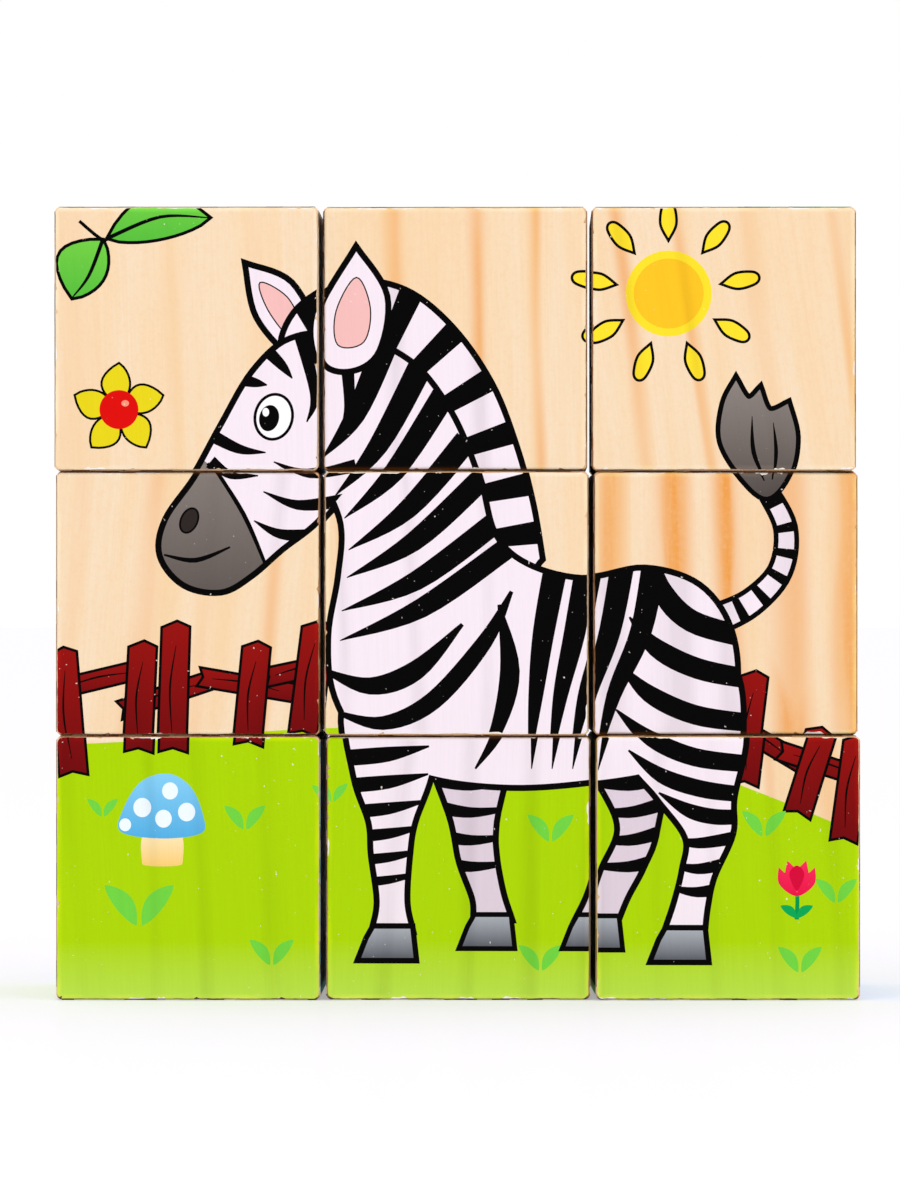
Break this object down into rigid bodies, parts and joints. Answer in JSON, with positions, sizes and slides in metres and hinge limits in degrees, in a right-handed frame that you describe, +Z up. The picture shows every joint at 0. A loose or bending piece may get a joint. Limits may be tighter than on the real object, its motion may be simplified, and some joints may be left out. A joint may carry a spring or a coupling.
{
  "type": "picture cube puzzle",
  "caption": "Wall of loose wooden picture cubes with a printed film on every face; turned and restacked, they make a different picture for each face.",
  "frame": {"origin": "on the ground under the middle of the wall of cubes", "axes": "+X to the right along the front picture, +Y from the front picture to the back one, +Z up"},
  "size_m": [0.1218, 0.041, 0.12],
  "materials": {
    "pine": "bare sanded pine, edges rounded",
    "front_picture": "clear satin film over pine, printed with a zebra in a meadow",
    "back_picture": "clear satin film over pine, printed with an elephant by the water",
    "top_picture": "clear satin film over pine, printed with a giraffe on a plain",
    "bottom_picture": "clear satin film over pine, printed with a whale at sea",
    "side_pictures": "clear satin film over pine, printed with a duck on a pond and with a tortoise in a garden"
  },
  "bodies": {
    "top_left_cube": {"top_left_block": "pine", "top_left_front_print": "front_picture", "top_left_back_print": "back_picture", "top_left_top_print": "top_picture", "top_left_bottom_print": "bottom_picture", "top_left_side_prints": "side_pictures"},
    "top_centre_cube": {"top_centre_block": "pine", "top_centre_front_print": "front_picture", "top_centre_back_print": "back_picture", "top_centre_top_print": "top_picture", "top_centre_bottom_print": "bottom_picture", "top_centre_side_prints": "side_pictures"},
    "top_right_cube": {"top_right_block": "pine", "top_right_front_print": "front_picture", "top_right_back_print": "back_picture", "top_right_top_print": "top_picture", "top_right_bottom_print": "bottom_picture", "top_right_side_prints": "side_pictures"},
    "middle_left_cube": {"middle_left_block": "pine", "middle_left_front_print": "front_picture", "middle_left_back_print": "back_picture", "middle_left_top_print": "top_picture", "middle_left_bottom_print": "bottom_picture", "middle_left_side_prints": "side_pictures"},
    "middle_centre_cube": {"middle_centre_block": "pine", "middle_centre_front_print": "front_picture", "middle_centre_back_print": "back_picture", "middle_centre_top_print": "top_picture", "middle_centre_bottom_print": "bottom_picture", "middle_centre_side_prints": "side_pictures"},
    "middle_right_cube": {"middle_right_block": "pine", "middle_right_front_print": "front_picture", "middle_right_back_print": "back_picture", "middle_right_top_print": "top_picture", "middle_right_bottom_print": "bottom_picture", "middle_right_side_prints": "side_pictures"},
    "bottom_left_cube": {"bottom_left_block": "pine", "bottom_left_front_print": "front_picture", "bottom_left_back_print": "back_picture", "bottom_left_top_print": "top_picture", "bottom_left_bottom_print": "bottom_picture", "bottom_left_side_prints": "side_pictures"},
    "bottom_centre_cube": {"bottom_centre_block": "pine", "bottom_centre_front_print": "front_picture", "bottom_centre_back_print": "back_picture", "bottom_centre_top_print": "top_picture", "bottom_centre_bottom_print": "bottom_picture", "bottom_centre_side_prints": "side_pictures"},
    "bottom_right_cube": {"bottom_right_block": "pine", "bottom_right_front_print": "front_picture", "bottom_right_back_print": "back_picture", "bottom_right_top_print": "top_picture", "bottom_right_bottom_print": "bottom_picture", "bottom_right_side_prints": "side_pictures"}
  },
  "joints": [
    {"name": "left_column_slides_out", "type": "slide", "parent": "bottom_centre_cube", "child": "bottom_left_cube", "axis": [-1, 0, 0], "range_m": [0, 0.06]},
    {"name": "right_column_slides_out", "type": "slide", "parent": "bottom_centre_cube", "child": "bottom_right_cube", "axis": [1, 0, 0], "range_m": [0, 0.06]},
    {"name": "middle_left_cube_pushes_through", "type": "slide", "parent": "bottom_left_cube", "child": "middle_left_cube", "axis": [0, -1, 0], "range_m": [-0.06, 0.06]},
    {"name": "top_left_cube_lifts_off", "type": "slide", "parent": "middle_left_cube", "child": "top_left_cube", "axis": [0, 0, 1], "range_m": [0, 0.06]},
    {"name": "middle_centre_cube_pushes_through", "type": "slide", "parent": "bottom_centre_cube", "child": "middle_centre_cube", "axis": [0, -1, 0], "range_m": [-0.06, 0.06]},
    {"name": "top_centre_cube_lifts_off", "type": "slide", "parent": "middle_centre_cube", "child": "top_centre_cube", "axis": [0, 0, 1], "range_m": [0, 0.06]},
    {"name": "middle_right_cube_pushes_through", "type": "slide", "parent": "bottom_right_cube", "child": "middle_right_cube", "axis": [0, -1, 0], "range_m": [-0.06, 0.06]},
    {"name": "top_right_cube_lifts_off", "type": "slide", "parent": "middle_right_cube", "child": "top_right_cube", "axis": [0, 0, 1], "range_m": [0, 0.06]}
  ]
}
